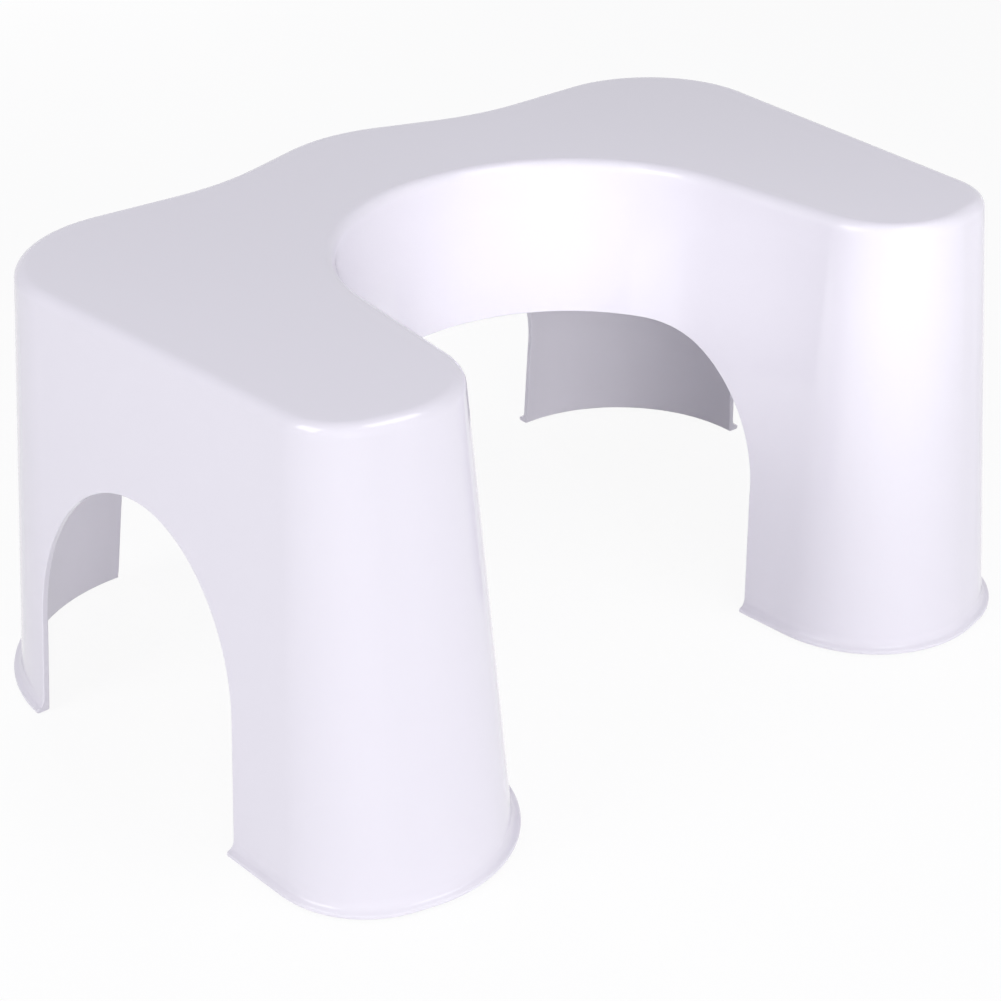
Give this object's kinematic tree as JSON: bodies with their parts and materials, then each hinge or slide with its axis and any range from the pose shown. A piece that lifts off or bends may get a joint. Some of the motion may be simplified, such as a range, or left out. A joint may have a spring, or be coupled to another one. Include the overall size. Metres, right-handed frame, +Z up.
{
  "type": "toilet footstool",
  "caption": "Low moulded footstool with a U-shaped deck that goes round the foot of a toilet, open arches between its feet and rubber strips under them.",
  "frame": {"origin": "middle of the stool's bounding box, on the floor", "axes": "+Z up; +X along the width, from the left arm to the right arm; +Y from the open side, where the toilet stands, to the waved edge"},
  "size_m": [0.427, 0.2986, 0.2008],
  "materials": {
    "white_plastic": "polished injection-moulded polypropylene, cool white",
    "grip_rubber": "matt grey thermoplastic rubber"
  },
  "bodies": {
    "root": {"shell": "white_plastic", "left_arm_foot_grip": "grip_rubber", "right_arm_foot_grip": "grip_rubber", "left_back_foot_grip": "grip_rubber", "right_back_foot_grip": "grip_rubber"}
  },
  "joints": []
}
